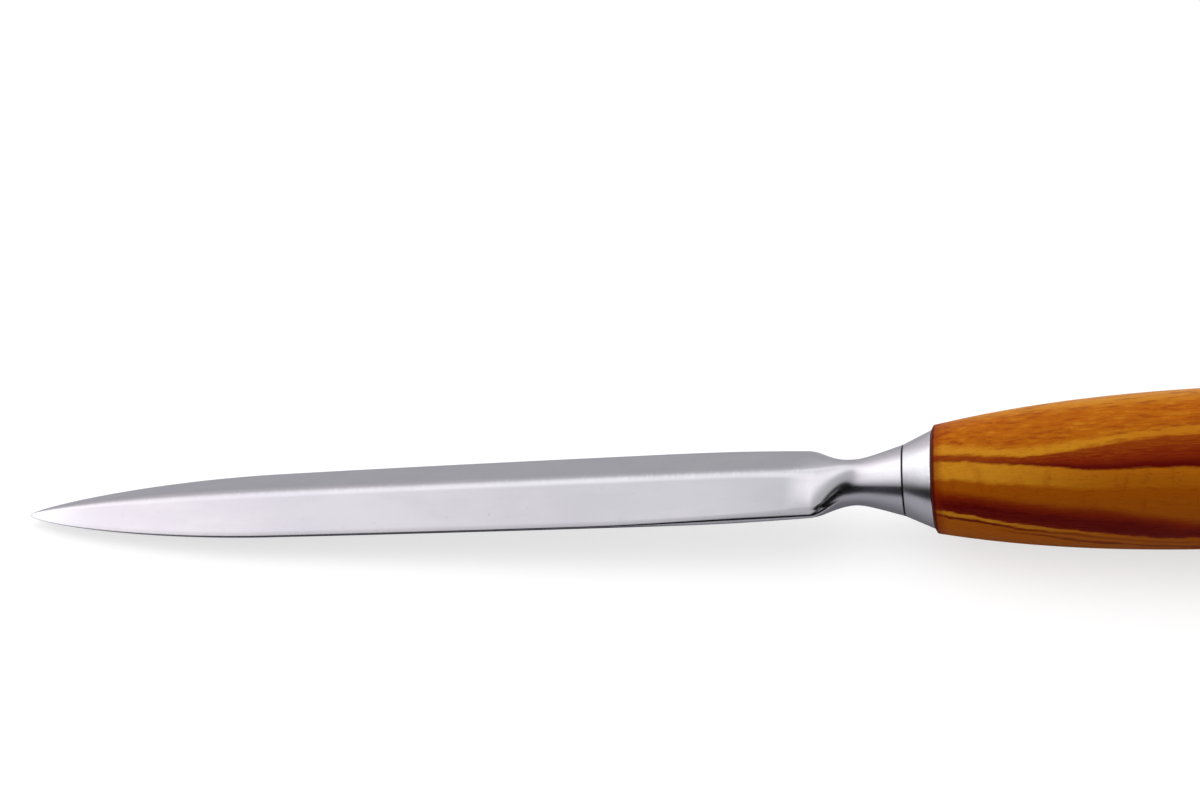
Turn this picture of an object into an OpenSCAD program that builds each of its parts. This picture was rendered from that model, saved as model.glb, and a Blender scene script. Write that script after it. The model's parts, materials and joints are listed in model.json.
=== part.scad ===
// Letter opener: a double-edged steel blade with a median ridge and a round bolster, a conical
// steel ferrule and a turned wooden handle, held together by a threaded stud and a glued-in insert.
//
// Lengths are in millimetres. Each piece is drawn on the opener's own axis, which runs along X from
// the point of the blade (x = 0) to the butt, with the blade flat in the XY plane. at_rest() then
// lays the piece down as the opener lies on a table: on the ridge near the point and on the handle.

/* [Blade] */
// Length from the point to the back of the bolster
blade_len = 137.6; // [125:0.1:150]
// Width over the blunt edges, near the shoulders
blade_w = 16.4; // [14:0.1:18]
// Thickness over the two ridges, near the shoulders
blade_t = 6.4; // [5:0.1:6.8]
// Height of the blunt edges
edge_t = 0.7; // [0.4:0.1:1]
// Length of the curved point
point_len = 40; // [30:1:50]
// Share of the width that is lost from the shoulders to the point
blade_taper = 0.24; // [0.1:0.01:0.3]
// Diameter of the neck, at its narrowest
neck_d = 6.96; // [6.9:0.01:7.4]
// Diameter at the back of the bolster
bolster_d = 10.8; // [10:0.1:12]

/* [Ferrule] */
// Length of the cone that shows
ferrule_len = 4.4; // [3:0.1:8]
// Diameter where the cone meets the wood
ferrule_d = 14.9; // [13:0.1:15.5]
// Length of the spigot inside the handle
spigot_len = 3.5; // [2:0.1:6]

/* [Handle] */
// Length of the wood
handle_len = 110; // [100:1:125]
// Diameter of the wood at its front face, over the chamfer
front_d = 16.2; // [16:0.1:17]
// Largest diameter
belly_d = 24.1; // [22:0.1:26]
// Distance from the front face to the largest diameter
belly_x = 52; // [45:1:60]
// Fullness of the wood from there to the rounded butt
butt_fullness = 3.2; // [2.4:0.1:4.5]

/* [Threaded fixing] */
// Outer diameter of the stud's thread
stud_d = 5; // [4:0.1:5]
// Pitch of the stud's thread
stud_pitch = 0.8; // [0.7:0.1:1]
// Depth of the tapped hole in the bolster
bolster_hole = 6; // [4:0.1:6.5]
// Outer diameter of the insert, and of the ferrule's spigot
insert_d = 10; // [9:0.1:10.5]
// Length of the insert
insert_len = 22; // [16:1:30]

/* [Hidden] */
$fn = 96;

fit = 0.05;                        // radial gap between pieces that go into each other
gap = 0.5;                         // end gap inside a blind hole
shoulder_x = blade_len - 14.75;    // where the outline turns in to the neck
skew = 0.8;                        // how much later it does so on the -Y side, as ground by hand
draw_len = 34;                     // length over which it draws in slightly ahead of that,
draw_in = 0.09;                    // and the share of the width that goes
thicken_len = 24;                  // length over which the blunt edges thicken towards the shoulders
waist_x = blade_len - 8.3;         // where the shoulders have become the round neck
neck_x = blade_len - 7.5;          // narrowest place
front_x = blade_len + ferrule_len; // front face of the wood
insert_x = front_x + spigot_len + gap;
bore_end = insert_x + insert_len + gap;

// ---- Profiles along the axis -------------------------------------------------------------

// 0 to 1 with level ends
function ease(v) = let (c = min(max(v, 0), 1)) c * c * (3 - 2 * c);

// Half width of the leaf-shaped blade, as if it had no shoulders
function leaf(x) = blade_w / 2 * pow(1 - pow(max(1 - x / point_len, 0), 2), 0.69)
    * (1 - blade_taper * pow(max(1 - x / shoulder_x, 0), 2))
    * (1 - draw_in * pow(max(1 + (x - shoulder_x) / draw_len, 0), 2));

// 1 on the blade, 0 from the round neck on
function shoulder(x) = ease((waist_x - x) / (waist_x - shoulder_x));

// The place that rules the outline on one side of the blade. It is x itself at the point, and the
// two sides part smoothly towards the shoulders.
function ruling(x, side) = side > 0 ? x : x - skew * ease(x / shoulder_x);

// Half width on one side, half thickness and half height of the blunt edge
function half_w(x, side) = let (r = ruling(x, side))
    neck_d / 2 + (leaf(r) - neck_d / 2) * shoulder(r);
function half_t(x) = neck_d / 2 + (blade_t / 2 * (1 - pow(1 - 2 * leaf(x) / blade_w, 1.6)) - neck_d / 2)
    * shoulder(x);
function half_edge(x) = edge_t
    * (leaf(x) / blade_w + 0.4 * ease((x - shoulder_x) / thicken_len + 1.4));

// Radius of the bolster: a cone with a hollow curve where it leaves the neck
hollow = 0.28;
function bolster_r(x) = neck_d / 2 - hollow
    + sqrt(pow(hollow, 2) + flare2 * pow((x - neck_x) / (blade_len - neck_x), 2));
flare2 = pow((bolster_d - neck_d) / 2 + hollow, 2) - pow(hollow, 2);

// Radius of the wood, x from its front face: it swells to the belly and rounds off to the butt
tail_len = handle_len - belly_x;
function wood_r(x) = x < belly_x
    ? belly_d / 2 - (belly_d - front_d) / 2 * pow(1 - x / belly_x, 2.6)
    : belly_d / 2 * sqrt(1 - pow(min((x - belly_x) / tail_len, 1), butt_fullness));

// ---- The pose at rest --------------------------------------------------------------------

// The lower outline, as pairs of place and depth
low_blade = [for (x = [0:0.5:60]) [x, half_t(x)]];
low_wood = [for (x = [0.3:0.5:handle_len]) [front_x + x, wood_r(x)]];

// How far an outline reaches below the axis' starting point once the axis rises at an angle a
function depth(outline, a) = max([for (p = outline) p[1] * cos(a) - p[0] * sin(a)]);

// The angle at which blade and wood reach equally low, by halving the range that holds it
function rest_angle(low = 0, high = 10, steps = 24) =
    let (mid = (low + high) / 2)
    steps == 0 ? mid
    : depth(low_wood, mid) > depth(low_blade, mid) ? rest_angle(mid, high, steps - 1)
    : rest_angle(low, mid, steps - 1);

rest_tilt = rest_angle();
rest_z = depth(low_wood, rest_tilt);
reach_x = max([for (p = low_wood) p[0] * cos(rest_tilt) + p[1] * sin(rest_tilt)]);

module at_rest() {
    translate([-reach_x / 2, 0, rest_z]) rotate([0, -rest_tilt, 0]) children();
}

// A turned piece: points are pairs of radius and place along the axis
module turned(points) {
    rotate([0, 90, 0]) rotate_extrude() polygon(points);
}

// ---- Blade -------------------------------------------------------------------------------

facets = 7;                             // divisions from a blunt edge to a ridge
edge_angle = 90 / (2 * facets + 1);     // half the angle that a blunt edge takes on the round neck
skin_end = neck_x + 1;                  // the skin ends inside the bolster's solid
skin_x = concat(
    [for (i = [1:20]) point_len * pow(i / 20, 1.7)],
    [for (i = [1:9]) point_len + (shoulder_x - 4 - point_len) * i / 9],
    [for (x = [shoulder_x - 3.5:0.5:neck_x]) x],
    [skin_end]);

// How round the section is: 0 where it is a diamond, 1 on the neck
function roundness(x) = ease((x - shoulder_x + 4) / (waist_x - shoulder_x + 4));

// One quarter of a section, from the blunt edge's corner to the ridge, on one side of the blade
function quarter(x, side) = [
    for (k = [0:facets])
    let (
        s = k / facets,
        angle = edge_angle + (90 - edge_angle) * s,
        m = roundness(ruling(x, side)),
        w = half_w(x, side),
        t = half_t(x),
        e = half_edge(x)
    )
    [
        (1 - m) * w * (1 - s) + m * w * cos(angle),
        (1 - m) * (e + (t - e) * s) + m * t * sin(angle)
    ]
];

// A whole section, anticlockwise seen from the handle
function section(x) = let (q = quarter(x, 1), p = quarter(x, -1)) [
    for (k = [0:facets]) [x, q[k][0], q[k][1]],
    for (k = [facets - 1:-1:0]) [x, -p[k][0], p[k][1]],
    for (k = [0:facets]) [x, -p[k][0], -p[k][1]],
    for (k = [facets - 1:-1:0]) [x, q[k][0], -q[k][1]]
];

module blade_skin() {
    ring = 4 * facets + 2;
    last = (len(skin_x) - 1) * ring;
    polyhedron(
        points = [for (x = skin_x) each section(x)],
        faces = concat(
            [[for (k = [0:ring - 1]) k]],
            [[for (k = [ring - 1:-1:0]) last + k]],
            [for (i = [0:len(skin_x) - 2]) for (k = [0:ring - 1]) for (half = [0, 1])
                let (a = i * ring + k, b = i * ring + (k + 1) % ring)
                half == 0 ? [a, a + ring, b] : [b, a + ring, b + ring]]
        ),
        convexity = 4
    );
}

module bolster() {
    turned(concat(
        [[0, neck_x - 0.5]],
        [for (x = [neck_x - 0.5:0.5:blade_len]) [bolster_r(x), x]],
        [[bolster_d / 2, blade_len], [0, blade_len]]
    ));
}

module blade() {
    color("silver")
    at_rest()
    difference() {
        union() {
            blade_skin();
            bolster();
        }
        translate([blade_len - bolster_hole, 0, 0])
        rotate([0, 90, 0])
        cylinder(h = bolster_hole + 1, r = stud_d / 2 + fit);
    }
}

// ---- Threaded stud -----------------------------------------------------------------------

// The thread is drawn as rings at the true pitch
module threaded_stud() {
    crest = stud_d / 2;
    root = crest - 0.6 * stud_pitch;
    start = blade_len - bolster_hole + gap;
    turns = floor((insert_x + insert_len - 2 - start) / stud_pitch);
    color("darkgray")
    at_rest()
    turned(concat(
        [[0, start]],
        [for (i = [0:turns - 1]) each [
            [root, start + i * stud_pitch],
            [crest, start + (i + 0.5) * stud_pitch]
        ]],
        [[root, start + turns * stud_pitch], [0, start + turns * stud_pitch]]
    ));
}

// ---- Ferrule -----------------------------------------------------------------------------

module ferrule() {
    hole = stud_d / 2 + 5 * fit;
    break_edge = 0.1;
    color("gainsboro")
    at_rest()
    turned([
        [hole, blade_len],
        [bolster_d / 2 - break_edge, blade_len],
        [bolster_d / 2, blade_len + break_edge],
        [ferrule_d / 2, front_x],
        [insert_d / 2, front_x],
        [insert_d / 2, front_x + spigot_len],
        [hole, front_x + spigot_len]
    ]);
}

// ---- Threaded insert ---------------------------------------------------------------------

// Rings cut round the outside give the glue a hold
module threaded_insert() {
    rings = 5;
    ring_w = 1.2;
    ring_depth = 0.4;
    step = insert_len / rings;
    outer = insert_d / 2;
    bore = stud_d / 2 + fit;
    color("goldenrod")
    at_rest()
    turned(concat(
        [[bore, insert_x], [outer, insert_x]],
        [for (i = [0:rings - 1]) let (x = insert_x + (i + 0.5) * step) each [
            [outer, x - ring_w / 2],
            [outer - ring_depth, x - ring_w / 2],
            [outer - ring_depth, x + ring_w / 2],
            [outer, x + ring_w / 2]
        ]],
        [[outer, insert_x + insert_len], [bore, insert_x + insert_len]]
    ));
}

// ---- Handle ------------------------------------------------------------------------------

module handle() {
    chamfer = 0.3;
    bore = insert_d / 2 + fit;
    drill_point = bore / tan(59);
    color("chocolate")
    at_rest()
    turned(concat(
        [[0, bore_end + drill_point], [bore, bore_end], [bore, front_x], [ferrule_d / 2 + fit, front_x]],
        [for (x = [chamfer, 2, 4, each [7:3:belly_x - 3]]) [wood_r(x), front_x + x]],
        [for (i = [0:24]) let (x = belly_x + tail_len * sin(90 * i / 24)) [wood_r(x), front_x + x]]
    ));
}

blade();
threaded_stud();
ferrule();
threaded_insert();
handle();
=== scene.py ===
"""Looks of the letter opener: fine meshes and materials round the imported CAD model."""

import json
import math

import bmesh
import bpy
from mathutils import Matrix, Vector

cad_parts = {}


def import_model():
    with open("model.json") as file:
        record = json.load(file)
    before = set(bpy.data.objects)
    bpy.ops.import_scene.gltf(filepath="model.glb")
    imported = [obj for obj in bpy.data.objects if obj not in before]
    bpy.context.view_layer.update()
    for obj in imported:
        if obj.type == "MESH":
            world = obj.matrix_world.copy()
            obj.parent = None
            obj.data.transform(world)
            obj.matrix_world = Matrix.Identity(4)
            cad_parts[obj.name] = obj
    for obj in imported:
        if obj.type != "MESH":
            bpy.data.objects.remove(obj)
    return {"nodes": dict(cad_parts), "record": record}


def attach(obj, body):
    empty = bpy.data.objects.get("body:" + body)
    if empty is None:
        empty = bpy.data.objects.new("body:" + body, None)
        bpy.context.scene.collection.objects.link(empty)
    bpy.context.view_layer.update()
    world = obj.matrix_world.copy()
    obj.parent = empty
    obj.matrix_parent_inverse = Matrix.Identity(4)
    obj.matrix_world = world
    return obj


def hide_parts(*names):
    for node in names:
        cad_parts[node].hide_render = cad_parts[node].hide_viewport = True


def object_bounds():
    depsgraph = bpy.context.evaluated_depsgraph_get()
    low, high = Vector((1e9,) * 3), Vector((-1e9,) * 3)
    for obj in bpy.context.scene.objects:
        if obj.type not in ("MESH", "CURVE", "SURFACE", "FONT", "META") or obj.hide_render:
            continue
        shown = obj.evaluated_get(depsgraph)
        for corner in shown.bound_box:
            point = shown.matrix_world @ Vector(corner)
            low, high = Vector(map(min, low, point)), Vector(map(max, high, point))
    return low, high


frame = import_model()
cad_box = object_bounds()

MM = 0.001

# ---- The opener's own axis, in metres ----------------------------------------------------
# Places along it are counted from the point of the blade, as in the CAD source.

BLADE_LEN = 137.6 * MM
BLADE_W = 16.4 * MM
BLADE_T = 6.4 * MM
EDGE_T = 0.7 * MM
POINT_LEN = 40 * MM
BLADE_TAPER = 0.24
NECK_D = 6.96 * MM
BOLSTER_D = 10.8 * MM
FERRULE_LEN = 4.4 * MM
FERRULE_D = 14.9 * MM
SPIGOT_LEN = 3.5 * MM
HANDLE_LEN = 110 * MM
FRONT_D = 16.2 * MM
BELLY_D = 24.1 * MM
BELLY_X = 52 * MM
BUTT_FULLNESS = 3.2
STUD_D = 5 * MM
INSERT_D = 10 * MM
INSERT_LEN = 22 * MM
BOLSTER_HOLE = 6 * MM
FIT = 0.05 * MM
GAP = 0.5 * MM

SHOULDER_X = BLADE_LEN - 14.75 * MM
SKEW = 0.8 * MM
DRAW_LEN = 34 * MM
DRAW_IN = 0.09
THICKEN_LEN = 24 * MM
WAIST_X = BLADE_LEN - 8.3 * MM
NECK_X = BLADE_LEN - 7.5 * MM
FRONT_X = BLADE_LEN + FERRULE_LEN

grip = next(m for m in frame["record"]["mounts"] if m["name"] == "grip")
AXIS = Vector(grip["axis"]).normalized()
SIDE = Vector((0, 1, 0))
FACE = AXIS.cross(SIDE)
POINT = Vector(grip["pos_m"]) - AXIS * (FRONT_X + BELLY_X)


def on_knife(x, y, z):
    """A place in the frame from one along the axis, across the blade and out of its face."""
    return POINT + AXIS * x + SIDE * y + FACE * z


# ---- Profiles ----------------------------------------------------------------------------


def ease(v):
    """0 below 0, 1 above 1, with level ends."""
    c = min(max(v, 0.0), 1.0)
    return c * c * (3 - 2 * c)


def leaf(x):
    """Half width of the blade as if it had no shoulders."""
    curve = 1 - max(1 - x / POINT_LEN, 0) ** 2
    taper = 1 - BLADE_TAPER * max(1 - x / SHOULDER_X, 0) ** 2
    draw = 1 - DRAW_IN * max(1 + (x - SHOULDER_X) / DRAW_LEN, 0) ** 2
    return BLADE_W / 2 * curve**0.69 * taper * draw


def shoulder(x):
    """1 on the blade, 0 from the round neck on."""
    return ease((WAIST_X - x) / (WAIST_X - SHOULDER_X))


def ruling(x, side):
    """The place that rules the outline on one side: on -Y the shoulder comes a little later."""
    return x if side > 0 else x - SKEW * ease(x / SHOULDER_X)


def half_w(x, side):
    """Half width of the outline, on one side."""
    r = ruling(x, side)
    return NECK_D / 2 + (leaf(r) - NECK_D / 2) * shoulder(r)


def half_t(x):
    """Half thickness over the ridges."""
    ridge = BLADE_T / 2 * (1 - (1 - 2 * leaf(x) / BLADE_W) ** 1.6)
    return NECK_D / 2 + (ridge - NECK_D / 2) * shoulder(x)


def half_edge(x):
    """Half height of the blunt edges, which thicken towards the shoulders."""
    return EDGE_T * (leaf(x) / BLADE_W + 0.4 * ease((x - SHOULDER_X) / THICKEN_LEN + 1.4))


def bolster_r(x):
    """Radius of the bolster: a cone with a hollow curve at the neck, softer than the CAD's."""
    hollow = 0.6 * MM
    rise = ((BOLSTER_D - NECK_D) / 2 + hollow) ** 2 - hollow**2
    along = (x - NECK_X) / (BLADE_LEN - NECK_X)
    return NECK_D / 2 - hollow + math.sqrt(hollow**2 + rise * along**2)


def wood_r(x):
    """Radius of the wood, x from its front face."""
    if x < BELLY_X:
        return BELLY_D / 2 - (BELLY_D - FRONT_D) / 2 * (1 - x / BELLY_X) ** 2.6
    back = min((x - BELLY_X) / (HANDLE_LEN - BELLY_X), 1)
    return BELLY_D / 2 * math.sqrt(max(1 - back**BUTT_FULLNESS, 0))


# ---- Meshes ------------------------------------------------------------------------------


def new_piece(name, bm, material):
    """A smooth-shaded object from a bmesh, riding on the root: nothing on the opener moves."""
    bmesh.ops.recalc_face_normals(bm, faces=bm.faces)
    mesh = bpy.data.meshes.new(name)
    bm.to_mesh(mesh)
    bm.free()
    for face in mesh.polygons:
        face.use_smooth = True
    piece = bpy.data.objects.new(name, mesh)
    bpy.context.scene.collection.objects.link(piece)
    mesh.materials.append(material)
    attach(piece, "root")
    return piece


def skin(rings):
    """A closed bmesh over rings of equal length; a ring of one point closes an end."""
    bm = bmesh.new()
    loops = [[bm.verts.new(p) for p in ring] for ring in rings]
    for a, b in zip(loops, loops[1:]):
        count = max(len(a), len(b))
        for i in range(count):
            j = (i + 1) % count
            corners = [a[i % len(a)], a[j % len(a)], b[j % len(b)], b[i % len(b)]]
            bm.faces.new(list(dict.fromkeys(corners)))
    return bm


def turned(profile, sides):
    """A body of revolution. The profile's pairs are place and radius; radius 0 closes an end."""
    rings = []
    for x, r in profile:
        if r == 0:
            rings.append([on_knife(x, 0, 0)])
            continue
        turn = [2 * math.pi * i / sides for i in range(sides)]
        rings.append([on_knife(x, r * math.cos(a), r * math.sin(a)) for a in turn])
    return skin(rings)


def rounded(profile, radius, steps=3):
    """The profile with each corner cut back and rounded."""
    out = [profile[0]]
    for before, here, after in zip(profile, profile[1:], profile[2:]):
        b, h, a = Vector(before), Vector(here), Vector(after)
        cut = min(radius, (b - h).length * 0.45, (a - h).length * 0.45)
        start = h + (b - h).normalized() * cut
        end = h + (a - h).normalized() * cut
        for i in range(steps + 1):
            t = i / steps
            out.append(tuple((1 - t) ** 2 * start + 2 * t * (1 - t) * h + t * t * end))
    return out + [profile[-1]]


# ---- Blade -------------------------------------------------------------------------------

EDGE_ANGLE = math.radians(6)
EDGE_POINTS, FACET_POINTS, RIDGE_POINTS = 13, 11, 9
TIP_X = 0.2455 * MM  # where the blunt point starts
SWELL_X = SHOULDER_X - 12 * MM  # where edges and ridges begin to get rounder
SWELL_LEN = 16 * MM


def roundness(x):
    """0 where the section is a diamond, 1 on the neck."""
    start = SHOULDER_X - 4 * MM
    return ease((x - start) / (WAIST_X - start))


def bent(start, corner, end, u):
    """A point of the quadratic curve that rounds a corner."""
    return (1 - u) ** 2 * start + 2 * u * (1 - u) * corner + u * u * end


def quarter(x, side):
    """One quarter of a section, from the middle of one blunt edge to the ridge.

    s runs from -1 in the middle of the edge over 0 at its corner to 1 on the ridge. Each point
    comes with its wear: 1 on a corner, 0 on a facet.
    """
    w, t, e, m = half_w(x, side), half_t(x), half_edge(x), roundness(ruling(x, side))
    swell = ease((x - SWELL_X) / SWELL_LEN)
    facet = math.hypot(half_w(x, 1), t - e)
    edge_round = (0.75 + 0.6 * swell) * MM
    ridge_round = (1.3 + 0.5 * swell) * MM
    facet_cut = min(edge_round / facet, 0.3)
    ridge_cut = min(ridge_round / facet, 0.2 + 0.15 * swell)

    def sharp(s):
        if s < 0:
            return Vector((w, e * (1 + s)))
        return Vector((w * (1 - s), e + (t - e) * s))

    places = []
    for i in range(EDGE_POINTS):
        u = i / (EDGE_POINTS - 1)
        s = -1 + (1 + facet_cut) * i / (EDGE_POINTS - 1)
        places.append((s, bent(sharp(-1), sharp(0), sharp(facet_cut), u), 1 - u))
    inner = 1 - ridge_cut
    margin = 0.02 * (inner - facet_cut)
    for i in range(FACET_POINTS):
        s = facet_cut + margin + (inner - facet_cut - 2 * margin) * i / (FACET_POINTS - 1)
        places.append((s, sharp(s), 0.0))
    mirror = Vector((-sharp(inner).x, sharp(inner).y))
    for i in range(RIDGE_POINTS):
        u = i / (RIDGE_POINTS - 1)
        s = inner + ridge_cut * i / (RIDGE_POINTS - 1)
        places.append((s, bent(sharp(inner), sharp(1), mirror, u / 2), u))
    out = []
    for s, flat, worn in places:
        angle = EDGE_ANGLE * (1 + s) if s < 0 else EDGE_ANGLE + (math.pi / 2 - EDGE_ANGLE) * s
        full = Vector((w * math.cos(angle), t * math.sin(angle)))
        out.append((flat * (1 - m) + full * m, worn * (1 - m)))
    return out


def around(right, left):
    """The upper and the lower half of a turn, from what its two upper quarters hold."""
    upper = right + left[-2::-1]
    return upper, upper[-2:0:-1]


def ring(x, right, left):
    """A whole section from its quarters on the +Y and the -Y side."""
    upper, lower = around([(p.x, p.y) for p in right], [(-p.x, p.y) for p in left])
    return [on_knife(x, y, z) for y, z in upper] + [on_knife(x, y, -z) for y, z in lower]


def blade():
    """Blade, neck and bolster with its tapped hole, and the wear of each vertex of the blade."""
    point_steps, blade_steps, neck_steps, bolster_steps = 90, 60, 110, 40
    stations = [TIP_X + (POINT_LEN - TIP_X) * (i / point_steps) ** 1.8 for i in range(point_steps)]
    stations += [POINT_LEN + (SWELL_X - POINT_LEN) * i / blade_steps for i in range(blade_steps)]
    stations += [SWELL_X + (NECK_X - SWELL_X) * i / neck_steps for i in range(neck_steps)]
    rings, wear = [[on_knife(TIP_X, 0, 0)]], [1.0]
    for x in stations:
        sides = [quarter(x, side) for side in (1, -1)]
        rings.append(ring(x, *([p for p, _ in q] for q in sides)))
        upper, lower = around(*([worn for _, worn in q] for q in sides))
        wear += upper + lower

    def round_ring(x, r):
        q = [p / p.length * r for p, _ in quarter(NECK_X, 1)]
        return ring(x, q, q)

    rim_round = 0.2 * MM
    back = BLADE_LEN - rim_round
    for i in range(bolster_steps + 1):
        x = NECK_X + (back - NECK_X) * i / bolster_steps
        rings.append(round_ring(x, bolster_r(x)))
    rim = BOLSTER_D / 2
    hole = STUD_D / 2 + FIT
    bottom = BLADE_LEN - BOLSTER_HOLE
    end = [(back, bolster_r(back)), (BLADE_LEN, rim), (BLADE_LEN, hole), (bottom, hole)]
    rings += [round_ring(x, r) for x, r in rounded(end, rim_round)[1:]]
    rings.append([on_knife(bottom, 0, 0)])
    bm = skin(rings)
    layer = bm.verts.layers.float.new("wear")
    bm.verts.ensure_lookup_table()
    for vert, worn in zip(bm.verts, wear):
        vert[layer] = worn
    return bm


# ---- Ferrule and handle ------------------------------------------------------------------

FERRULE_SIDES, HANDLE_SIDES = 160, 192
DRILL_ANGLE = math.radians(118)


def ferrule():
    """The collar with its bore and its spigot."""
    hole = STUD_D / 2 + 5 * FIT
    corners = [
        (BLADE_LEN + FERRULE_LEN, hole),
        (BLADE_LEN, hole),
        (BLADE_LEN, BOLSTER_D / 2),
        (FRONT_X, FERRULE_D / 2),
        (FRONT_X, INSERT_D / 2),
        (FRONT_X + SPIGOT_LEN, INSERT_D / 2),
        (FRONT_X + SPIGOT_LEN, hole),
    ]
    profile = rounded(corners, 0.15 * MM)
    bm = turned(profile, FERRULE_SIDES)
    close_tube(bm, len(profile), FERRULE_SIDES)
    return bm


def close_tube(bm, count, sides):
    """Joins the last ring to the first."""
    bm.verts.ensure_lookup_table()
    last = (count - 1) * sides
    for i in range(sides):
        j = (i + 1) % sides
        bm.faces.new([bm.verts[k] for k in (last + i, last + j, j, i)])


def handle():
    """The wood with its blind bore, which a drill's point ends."""
    bore = INSERT_D / 2 + FIT
    bore_end = SPIGOT_LEN + INSERT_LEN + 2 * GAP
    drill_point = bore / math.tan(DRILL_ANGLE / 2)
    chamfer = 0.35 * MM
    steps = 90
    inner = [(bore_end, bore), (0, bore), (0, FERRULE_D / 2 + FIT), (chamfer, wood_r(chamfer))]
    outer = [chamfer + (BELLY_X - chamfer) * i / steps for i in range(1, steps + 1)]
    tail = HANDLE_LEN - BELLY_X
    outer += [BELLY_X + tail * math.sin(math.pi / 2 * i / steps) for i in range(1, steps)]
    shape = rounded(inner + [(x, wood_r(x)) for x in outer[:1]], 0.2 * MM)
    shape += [(x, wood_r(x)) for x in outer[1:]]
    profile = [(bore_end + drill_point, 0), *shape, (HANDLE_LEN, 0)]
    return turned([(FRONT_X + x, r) for x, r in profile], HANDLE_SIDES)


# ---- Materials ---------------------------------------------------------------------------


class Value:
    """A node socket or a number that can be added, multiplied and so on."""

    def __init__(self, nodes, socket):
        self.nodes, self.socket = nodes, socket

    def run(self, operation, *others):
        made = self.nodes.tree.nodes.new("ShaderNodeMath")
        made.operation = operation
        for i, value in enumerate((self, *others)):
            self.nodes.put(made.inputs[i], value)
        return Value(self.nodes, made.outputs[0])

    def __add__(self, other):
        return self.run("ADD", other)

    def __sub__(self, other):
        return self.run("SUBTRACT", other)

    def __mul__(self, other):
        return self.run("MULTIPLY", other)

    def __truediv__(self, other):
        return self.run("DIVIDE", other)

    __radd__, __rmul__ = __add__, __mul__

    def __rsub__(self, other):
        return self * -1 + other

    def rise(self, low, high):
        """0 below low, 1 above high, with level ends."""
        made = self.nodes.tree.nodes.new("ShaderNodeMapRange")
        made.interpolation_type = "SMOOTHSTEP"
        for name, value in (("Value", self), ("From Min", low), ("From Max", high)):
            self.nodes.put(made.inputs[name], value)
        return Value(self.nodes, made.outputs["Result"])

    def band(self, low, high, soft):
        """1 between two limits, fading to 0 outside them."""
        over = (self - low).rise(-soft, soft)
        under = (high - self).rise(-soft, soft)
        return over * under


class Nodes:
    """Builds one node tree."""

    def __init__(self, tree, shader):
        self.tree = tree
        self.shader = tree.nodes[shader]

    def put(self, socket, value):
        if isinstance(value, Value):
            value = value.socket
        if isinstance(value, bpy.types.NodeSocket):
            self.tree.links.new(value, socket)
        else:
            socket.default_value = value

    def node(self, kind, inputs=None, **settings):
        made = self.tree.nodes.new(kind)
        for key, value in settings.items():
            setattr(made, key, value)
        for key, value in (inputs or {}).items():
            self.put(made.inputs[key], value)
        return made

    def set(self, **values):
        for key, value in values.items():
            self.put(self.shader.inputs[key.replace("_", " ")], value)

    def value(self, kind, output, inputs=None, **settings):
        return Value(self, self.node(kind, inputs, **settings).outputs[output])

    def ramp(self, value, stops):
        """A value through stops of place and level, straight from one to the next."""
        made = self.node("ShaderNodeValToRGB", {"Fac": value})
        band = made.color_ramp
        while len(band.elements) < len(stops):
            band.elements.new(1.0)
        for element, (place, level) in zip(band.elements, stops):
            element.position = place
            element.color = (level, level, level, 1)
        return Value(self, made.outputs["Color"])

    def noise(self, vector, detail=3.0, roughness=0.5):
        inputs = {"Vector": vector, "Scale": 1.0, "Detail": detail, "Roughness": roughness}
        return self.value("ShaderNodeTexNoise", "Fac", inputs)

    def paint(self, under, over, share, mode="MIX"):
        made = self.node("ShaderNodeMix", data_type="RGBA", blend_type=mode)
        self.put(made.inputs["Factor"], share)
        self.put(made.inputs[6], under)
        self.put(made.inputs[7], over)
        return made.outputs[2]

    def vector(self, *parts):
        return self.node("ShaderNodeCombineXYZ", dict(enumerate(parts))).outputs[0]

    def bump(self, height, distance):
        inputs = {"Height": height, "Strength": 1.0, "Distance": distance}
        return self.node("ShaderNodeBump", inputs).outputs["Normal"]

    def along(self):
        """The surface's place along the axis, across and out of the flat of the blade.

        In millimetres, from the middle of the wood's front face.
        """
        place = self.node("ShaderNodeTexCoord").outputs["Object"]
        inputs = {0: place, 1: on_knife(FRONT_X, 0, 0)}
        moved = self.node("ShaderNodeVectorMath", inputs, operation="SUBTRACT").outputs[0]
        parts = []
        for direction in (AXIS, SIDE, FACE):
            inputs = {0: moved, 1: direction / MM}
            dot = self.node("ShaderNodeVectorMath", inputs, operation="DOT_PRODUCT")
            parts.append(Value(self, dot.outputs["Value"]))
        return parts


def new_material(name):
    material = bpy.data.materials.new(name)
    material.use_nodes = True
    return material, Nodes(material.node_tree, "Principled BSDF")


def colour(r, g, b):
    """A colour from its 0 to 255 screen values."""
    return tuple(((v / 255 + 0.055) / 1.055) ** 2.4 for v in (r, g, b)) + (1,)


SEAM = -FERRULE_LEN / MM  # counted as in along()


def seam_shade(n, x):
    """Painted shade: a dark line in the narrow groove where bolster and ferrule meet."""
    return (x - SEAM).run("ABSOLUTE").rise(0.24, 0.06)


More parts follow.
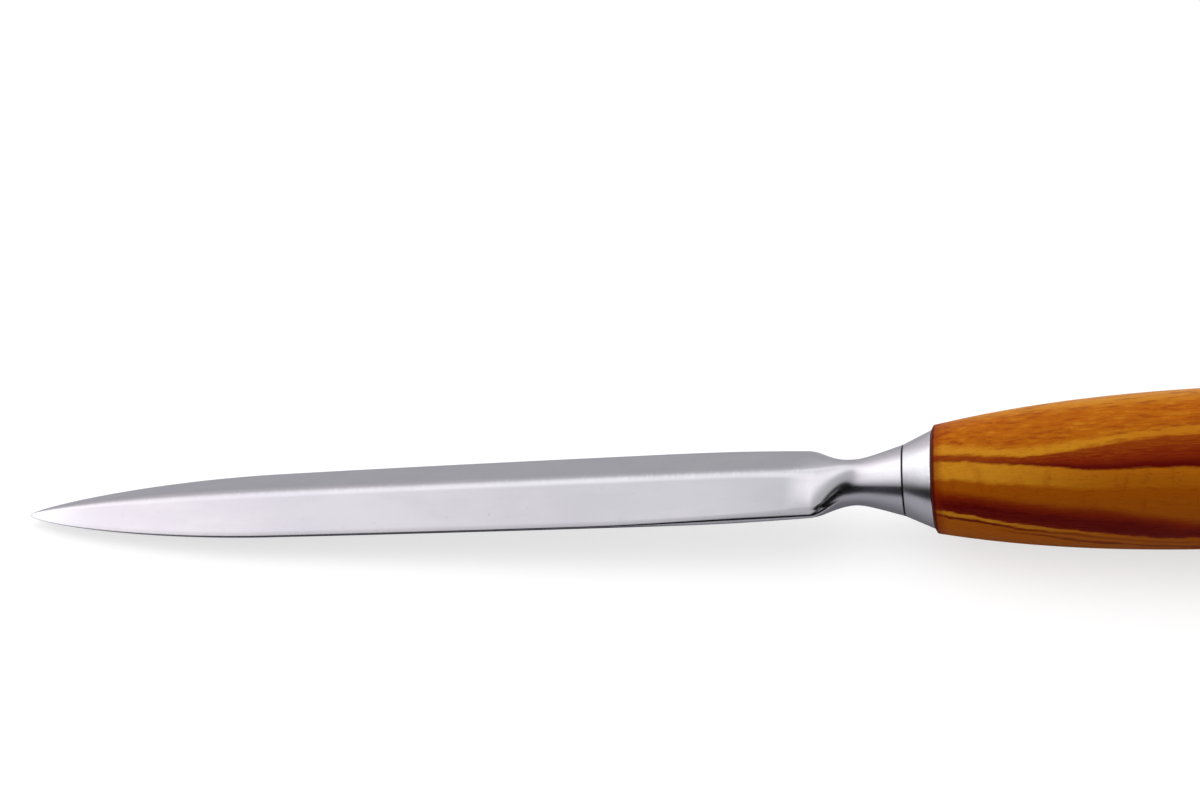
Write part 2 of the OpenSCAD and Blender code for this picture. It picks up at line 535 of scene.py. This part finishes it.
def blade_steel():
    """Satin stainless steel: fine polishing lines, smudges, bright worn corners, a rougher neck."""
    material, n = new_material("blade_steel")
    x, y, z = n.along()
    lines = n.noise(n.vector(x * 0.12, y * 8, z * 8), 4)
    cloud = n.noise(n.vector(x * 0.09, y * 0.2, z * 0.2), 4, 0.6).rise(0.36, 0.66)
    speck = n.noise(n.vector(x * 1.6, y * 2.2, z * 2.2), 2).rise(0.7, 0.76)
    wear = n.value("ShaderNodeAttribute", "Fac", attribute_name="wear")
    nicks = wear * n.noise(n.vector(x * 2.5, y * 0.5, z * 0.5), 3, 0.7).rise(0.45, 0.75)
    tint = n.paint(colour(204, 203, 209), colour(200, 199, 206), cloud)
    tint = n.paint(tint, colour(214, 213, 218), nicks)
    tint = n.paint(tint, colour(150, 146, 143), speck * 0.4)
    # Painted shade along the groove where bolster and ferrule meet
    tint = n.paint(tint, colour(22, 20, 22), seam_shade(n, x))
    neck = x.band(-17, -5, 4)
    rough = 0.17 + 0.02 * cloud + 0.05 * lines - 0.04 * wear + 0.04 * nicks + 0.05 * neck
    n.set(Base_Color=tint, Metallic=1.0, Roughness=rough)
    n.set(Normal=n.bump(lines * 0.5 + nicks * 0.6, 0.004 * MM))
    return material


def ferrule_steel():
    """Turned steel: fine lines round it, faint stains, bright worn rims."""
    material, n = new_material("ferrule_steel")
    x, y, z = n.along()
    lines = n.noise(n.vector(x * 11, y * 0.1, z * 0.1), 4)
    cloud = n.noise(n.vector(x * 0.3, y * 0.3, z * 0.3), 4, 0.6).rise(0.36, 0.66)
    patchy = n.noise(n.vector(x, y * 2, z * 2), 3, 0.7).rise(0.4, 0.6)
    rim = x.run("ABSOLUTE").rise(0.5, 0.1) * patchy
    tint = n.paint(colour(211, 210, 215), colour(203, 202, 208), cloud)
    tint = n.paint(tint, colour(226, 225, 228), rim)
    # Painted shade along the groove where bolster and ferrule meet
    tint = n.paint(tint, colour(22, 20, 22), seam_shade(n, x))
    rough = 0.17 + 0.03 * cloud + 0.06 * lines - 0.03 * rim
    n.set(Base_Color=tint, Metallic=1.0, Roughness=rough)
    n.set(Normal=n.bump(lines, 0.003 * MM))
    return material


def stud_steel():
    """Zinc-plated thread, a little stained."""
    material, n = new_material("stud_steel")
    x, y, z = n.along()
    cloud = n.noise(n.vector(x * 0.8, y * 0.8, z * 0.8), 4, 0.6)
    tint = n.paint(colour(170, 170, 172), colour(196, 194, 188), cloud)
    n.set(Base_Color=tint, Metallic=1.0, Roughness=0.3 + 0.2 * cloud)
    n.set(Normal=n.bump(cloud, 0.02 * MM))
    return material


def insert_brass():
    """Turned brass with glue stains."""
    material, n = new_material("insert_brass")
    x, y, z = n.along()
    lines = n.noise(n.vector(x * 10, y, z), 3)
    stain = n.noise(n.vector(x * 0.4, y * 0.4, z * 0.4), 4, 0.6).rise(0.5, 0.7)
    tint = n.paint(colour(205, 165, 85), colour(222, 186, 108), lines)
    tint = n.paint(tint, colour(150, 112, 60), stain * 0.5)
    n.set(Base_Color=tint, Metallic=1.0, Roughness=0.25 + 0.15 * lines + 0.2 * stain)
    n.set(Normal=n.bump(lines, 0.01 * MM))
    return material


AMBER = colour(184, 98, 1)
GOLD = colour(214, 144, 30)
BROWN = colour(170, 86, 2)
RUST = colour(130, 34, 0)
MAROON = colour(96, 5, 0)
# Colour of the painted shade on the wood's front chamfer
CHAMFER_SHADE = colour(72, 5, 1)


def handle_wood():
    """Oiled wood. Dark and light layers run along it and part, with fibres, flecks and pores, a
    painted highlight along its top and painted shade on the chamfer at its front edge.

    The layers are flat and lean against the flat of the blade; v is the height over them.
    """
    material, n = new_material("handle_wood")
    x, y, z = n.along()
    lean = math.radians(50.5)
    v = y * math.cos(lean) + z * math.sin(lean)
    deep = y * math.sin(lean) - z * math.cos(lean)
    wander = n.noise(n.vector(x * 0.07, v * 0.12, deep * 0.12), 2) - 0.5
    ripple = n.noise(n.vector(x * 0.35, v * 0.5, deep * 0.35), 3, 0.6) - 0.5
    grain = n.noise(n.vector(x * 0.16, v * 3.4, deep * 3.4), 3, 0.6) - 0.5
    v = v + 1.2 * wander + 0.6 * ripple + 0.5 * grain

    # The flame: a layer that widens into an eye towards the middle of the handle
    foot = 0.5 + 2.4 * (x * x * -1 / 16**2).run("EXPONENT")
    width = 0.95 + 4.0 * x.rise(8, 38) * x.rise(108, 70)
    over = v - foot
    share = over / width

    # The dark layers below it
    brow = -2.3 - 0.15 * x
    root = -4.4 - 0.22 * x + 0.002 * x * x

    fibre = n.noise(n.vector(x * 0.2, v * 4.2, deep * 4.2), 5, 0.62)
    fleck = n.noise(n.vector(x * 0.3, v * 1.7, deep * 1.0), 4, 0.6)
    figure = n.noise(n.vector(x * 0.5, v * 0.2, deep * 0.2), 3, 0.55)
    front = x.rise(30, 5)
    streak = fibre.rise(0.44, 0.66)

    body = n.paint(AMBER, BROWN, over.rise(0.6, -2.2))
    crown = width + foot
    body = n.paint(body, GOLD, v.band(crown, crown + 1.3, 0.5) * (0.85 - 0.4 * x.rise(20, 34)))
    # Painted highlight: a gold band along the top of the handle stands in for the room reflected
    # there at grazing angles
    body = n.paint(body, GOLD, (v - 0.055 * x).rise(7.9, 9.3) * 0.7)
    body = n.paint(body, GOLD, over.band(-2.9, 0, 0.45) * (0.2 + 0.75 * front))
    body = n.paint(body, RUST, (v - brow).rise(1.4, -0.2))
    body = n.paint(body, MAROON, v.band(root, brow - 0.5, 0.6) * (1 - 0.4 * streak))
    below = v - root
    body = n.paint(body, n.paint(BROWN, AMBER, 0.6), below.rise(0.1, -0.25))
    body = n.paint(body, GOLD, below.band(-0.5, -0.1, 0.16) * front * 0.8)
    body = n.paint(body, MAROON, below.band(-0.95, -0.62, 0.16) * (0.35 + 0.6 * front))
    body = n.paint(body, MAROON, below.band(-1.65, -1.4, 0.16) * x.rise(6, 16) * 0.8)

    # Fibres, red flecks, cross figure and pores
    body = n.paint(body, n.paint((0.3, 0.3, 0.3, 1), (0.68, 0.68, 0.68, 1), fibre), 0.6, "OVERLAY")
    body = n.paint(body, RUST, fleck.rise(0.5, 0.68) * v.rise(0, 6) * 0.5)
    body = n.paint(body, GOLD, fleck.rise(0.48, 0.32) * (v - crown).rise(-0.5, 2) * 0.4)
    body = n.paint(body, RUST, figure.rise(0.5, 0.75) * over.band(-6, 0, 1) * 0.3)

    flame = n.paint(MAROON, RUST, share.rise(0.05, 0.4))
    flame = n.paint(flame, BROWN, share.rise(0.45, 1.0) * x.rise(10, 30) * 0.4)
    flame = n.paint(flame, BROWN, streak * share.rise(0.1, 0.8) * 0.5)
    body = n.paint(body, flame, over.band(0, width, 0.24) * (0.75 + 0.25 * x.rise(4, 20)))
    pore = n.noise(n.vector(x * 0.7, v * 9, deep * 9), 2).rise(0.63, 0.72)
    body = n.paint(body, MAROON, pore * 0.4)

    # Darker towards the front edge, and painted shade, nearly black, on the chamfer where the wood
    # meets the ferrule; the butt shows its pores
    body = n.paint(body, RUST, (x - 1.6 * fleck).rise(1.6, -0.3) * 0.6)
    body = n.paint(body, CHAMFER_SHADE, (x - 0.5 * fibre).rise(0.5, 0.15) * 0.92)
    butt = x.rise(102, 109)
    body = n.paint(body, RUST, butt * (0.3 + 0.4 * fleck))

    rough = 0.3 + 0.14 * fibre + 0.1 * pore
    n.set(Base_Color=body, Roughness=rough, Specular_IOR_Level=0.04)
    n.set(Normal=n.bump(fibre * 0.6 - pore * 0.5 + fleck * 0.3, 0.03 * MM))
    return material


# ---- Pieces ------------------------------------------------------------------------------

looks = {
    "blade": blade_steel(),
    "ferrule": ferrule_steel(),
    "handle": handle_wood(),
    "threaded_stud": stud_steel(),
    "threaded_insert": insert_brass(),
}

for node, build in (("blade", blade), ("ferrule", ferrule), ("handle", handle)):
    piece = new_piece(node + "_fine", build(), looks[node])
    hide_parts(node)

for node in ("threaded_stud", "threaded_insert"):
    mesh = frame["nodes"][node]
    for place in mesh.material_slots:
        place.material = looks[node]


# ---- Stage -------------------------------------------------------------------------------


def floor():
    """A white floor. Reflections find it grey below the blade and paler below the handle.

    They find it nearly black in a strip along the blade's near side, and from 5 cm in front on.
    """
    bm = bmesh.new()
    bmesh.ops.create_grid(bm, x_segments=8, y_segments=8, size=30)
    mesh = bpy.data.meshes.new("floor")
    bm.to_mesh(mesh)
    bm.free()
    made = bpy.data.objects.new("floor", mesh)
    bpy.context.scene.collection.objects.link(made)
    made.location.z = cad_box[0].z
    material, n = new_material("floor")
    place = n.node("ShaderNodeTexCoord").outputs["Object"]
    x, y = (n.value("ShaderNodeSeparateXYZ", part, {0: place}) for part in "XY")
    seen = n.node("ShaderNodeLightPath").outputs
    strip = y.band(-0.022, -0.0095, 0.001) * x.rise(-0.02, -0.035)
    card = y.rise(-0.026, -0.048)
    grey = n.paint((0.54, 0.54, 0.57, 1), (0.85, 0.85, 0.85, 1), x.rise(0.02, 0.04))
    grey = n.paint(grey, (0.02, 0.02, 0.024, 1), strip.run("MAXIMUM", card))
    tone = n.paint((0.75, 0.75, 0.75, 1), grey, seen["Is Glossy Ray"])
    tone = n.paint(tone, (0.4, 0.4, 0.4, 1), seen["Is Camera Ray"])
    n.set(Base_Color=tone, Roughness=0.9, Specular_IOR_Level=0.0)
    # The camera sees the floor glow white, which pales the shadows on it
    n.set(Emission_Color=(1, 1, 1, 1), Emission_Strength=Value(n, seen["Is Camera Ray"]) * 0.7)
    mesh.materials.append(material)


def world():
    """A white room that is brighter to the left and dark low down in front.

    The ramps hold its brightness by height, from 0 at the horizon to 1 overhead: far for the
    half behind the opener, near for the half in front of it.
    """
    made = bpy.data.worlds.new("studio")
    bpy.context.scene.world = made
    made.use_nodes = True
    n = Nodes(made.node_tree, "Background")
    way = n.node("ShaderNodeTexCoord").outputs["Generated"]
    x, y, z = (n.value("ShaderNodeSeparateXYZ", part, {0: way}) for part in "XYZ")
    height = z.run("ARCSINE") * (2 / math.pi)
    left = x.rise(-0.08, -0.6)
    glare = 0.9 * x.rise(-0.5, -0.74)
    far_stops = [(0, 0.54), (0.1, 0.56), (0.28, 0.62), (0.36, 0.72), (0.51, 1.1), (0.6, 1.3)]
    far = n.ramp(height, [*far_stops, (0.74, 1.3), (0.85, 0.78), (0.92, 0.71)])
    far = far * (1 + 0.35 * left + glare) * (1 - 0.32 * x.rise(-0.1, 0.2))
    near_stops = [(0.1, 0.15), (0.24, 0.25), (0.33, 0.38), (0.48, 0.53), (0.7, 0.6), (0.9, 0.64)]
    near = n.ramp(height, near_stops)

    # The near half is dark below the lid, which rises to the right, but for a patch far right
    lid = 0.36 + 0.37 * x + 0.6 * x.run("MAXIMUM", 0.0)
    right = x.rise(0.5, 0.66) * height.rise(0.36, 0.43)
    lit = (height - lid).rise(-0.07, 0.14).run("MAXIMUM", 0.85 * right)
    near = near * lit * (1 + 1.4 * left + glare)
    room = near + (far - near) * y.rise(-0.2, 0.2)
    tinge = x.rise(-0.2, -0.4) * x.rise(-0.72, -0.55)
    blush = n.paint((1, 1, 1, 1), (1, 0.945, 0.965, 1), tinge)
    seen = n.node("ShaderNodeLightPath").outputs
    room = n.paint(blush, room, 1.0, "MULTIPLY")
    n.put(n.shader.inputs["Color"], n.paint(room, (1, 1, 1, 1), seen["Is Camera Ray"]))


def softbox():
    """Soft light from above, which reflections do not find."""
    light = bpy.data.lights.new("softbox", "AREA")
    light.shape = "RECTANGLE"
    light.size, light.size_y = 1.2, 0.9
    light.energy = 2
    made = bpy.data.objects.new("softbox", light)
    bpy.context.scene.collection.objects.link(made)
    made.location = (0.1, 0.15, 0.9)
    made.rotation_euler = (made.location * -1).to_track_quat("-Z", "Y").to_euler()
    made.visible_glossy = False


def camera():
    """The photograph's viewing angle, as directions along, across and out of the blade."""

    def to_frame(v):
        return (AXIS * v[0] + SIDE * v[1] + FACE * v[2]).normalized()

    forward = to_frame((-0.16508, 0.76547, -0.62193))
    right = to_frame((0.98531, 0.10005, -0.1384))
    up = right.cross(forward).normalized()
    right = forward.cross(up).normalized()

    # In millimetres, from the middle of the wood's front face
    distance, shift_left, shift_up = 500.84, 50.17, 11.84
    place = on_knife(FRONT_X, 0, 0) - right * shift_left * MM + up * shift_up * MM
    place -= forward * distance * MM
    data = bpy.data.cameras.new("camera")
    data.sensor_width = 36
    data.lens = 99.99
    data.clip_start, data.clip_end = 0.01, 100
    made = bpy.data.objects.new("camera", data)
    bpy.context.scene.collection.objects.link(made)
    turn = Matrix((right, up, -forward)).transposed()
    made.matrix_world = Matrix.Translation(place) @ turn.to_4x4()
    bpy.context.scene.camera = made


floor()
world()
softbox()
camera()
bpy.context.scene.view_settings.view_transform = "Standard"
